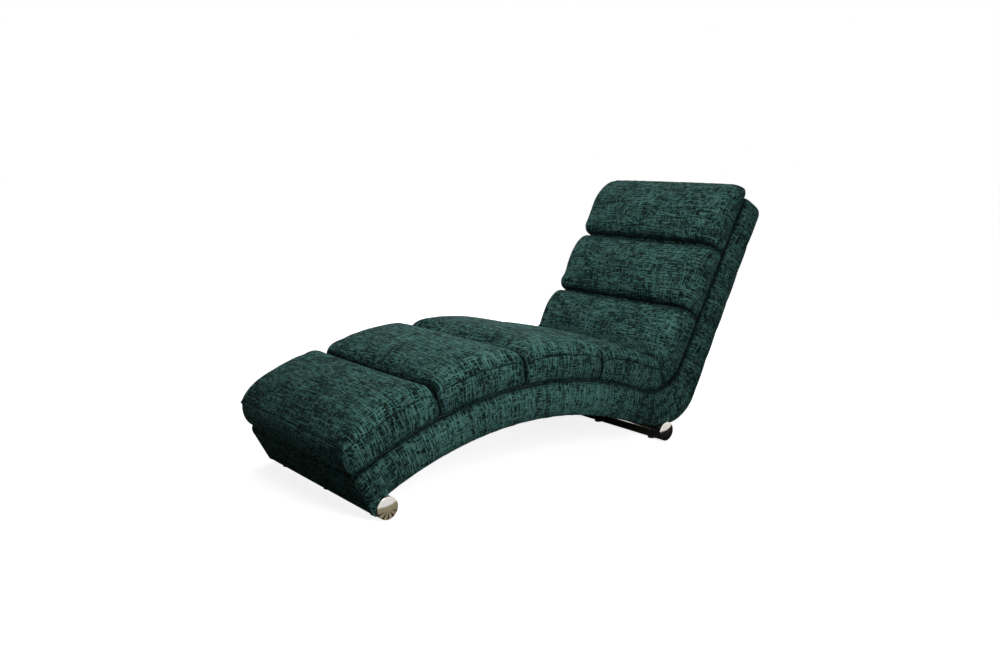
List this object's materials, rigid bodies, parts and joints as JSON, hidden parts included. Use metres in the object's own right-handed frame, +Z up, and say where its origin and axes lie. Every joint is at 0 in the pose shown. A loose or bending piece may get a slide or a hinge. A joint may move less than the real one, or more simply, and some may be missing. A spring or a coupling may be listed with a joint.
{
  "type": "chaise longue",
  "caption": "Upholstered chaise longue with an arched padded base, separate crowned channel pads from foot to head and polished tube feet across its width.",
  "frame": {"origin": "on the floor, under the middle of the object's length and width", "axes": "+X from the foot end to the head end, +Y across the width to the far side, +Z up"},
  "size_m": [1.5942, 0.6106, 0.7966],
  "materials": {
    "teal_fabric": "dark teal melange weave, matt",
    "dust_cloth": "black spunbond cloth, matt",
    "lining": "plain deck cloth, matt",
    "foam": "open-cell foam, matt",
    "plywood": "bare plywood",
    "spring_steel": "drawn wire",
    "webbing": "woven elastic webbing",
    "chrome": "polished chrome plate",
    "black_plastic": "moulded, matt",
    "zinc": "zinc plated"
  },
  "bodies": {
    "root": {"foot_pad_cover": "teal_fabric", "calf_pad_cover": "teal_fabric", "thigh_pad_cover": "teal_fabric", "seat_pad_cover": "teal_fabric", "lumbar_pad_cover": "teal_fabric", "middle_pad_cover": "teal_fabric", "head_pad_cover": "teal_fabric", "side_cover_near": "teal_fabric", "side_cover_far": "teal_fabric", "foot_end_cover": "teal_fabric", "back_cover": "teal_fabric", "dust_cloth": "dust_cloth", "seat_deck": "lining", "back_deck": "lining", "foot_pad_foam": "foam", "calf_pad_foam": "foam", "thigh_pad_foam": "foam", "seat_pad_foam": "foam", "lumbar_pad_foam": "foam", "middle_pad_foam": "foam", "head_pad_foam": "foam", "side_board_near": "plywood", "side_board_far": "plywood", "foot_rail": "plywood", "calf_rail": "plywood", "thigh_rail": "plywood", "heel_rail": "plywood", "lumbar_rail": "plywood", "head_rail": "plywood", "spring_1": "spring_steel", "spring_2": "spring_steel", "spring_3": "spring_steel", "spring_4": "spring_steel", "spring_5": "spring_steel", "back_strap_1": "webbing", "back_strap_2": "webbing", "back_strap_3": "webbing", "back_strap_4": "webbing", "front_tube": "chrome", "rear_tube": "chrome", "front_cap_near": "chrome", "front_cap_far": "chrome", "rear_cap_near": "chrome", "rear_cap_far": "chrome", "front_glide_1": "black_plastic", "front_glide_2": "black_plastic", "front_glide_3": "black_plastic", "rear_glide_1": "black_plastic", "rear_glide_2": "black_plastic", "rear_glide_3": "black_plastic", "front_bolt_1": "zinc", "front_bolt_2": "zinc", "front_bolt_3": "zinc", "rear_bolt_1": "zinc", "rear_bolt_2": "zinc", "rear_bolt_3": "zinc"}
  },
  "joints": []
}
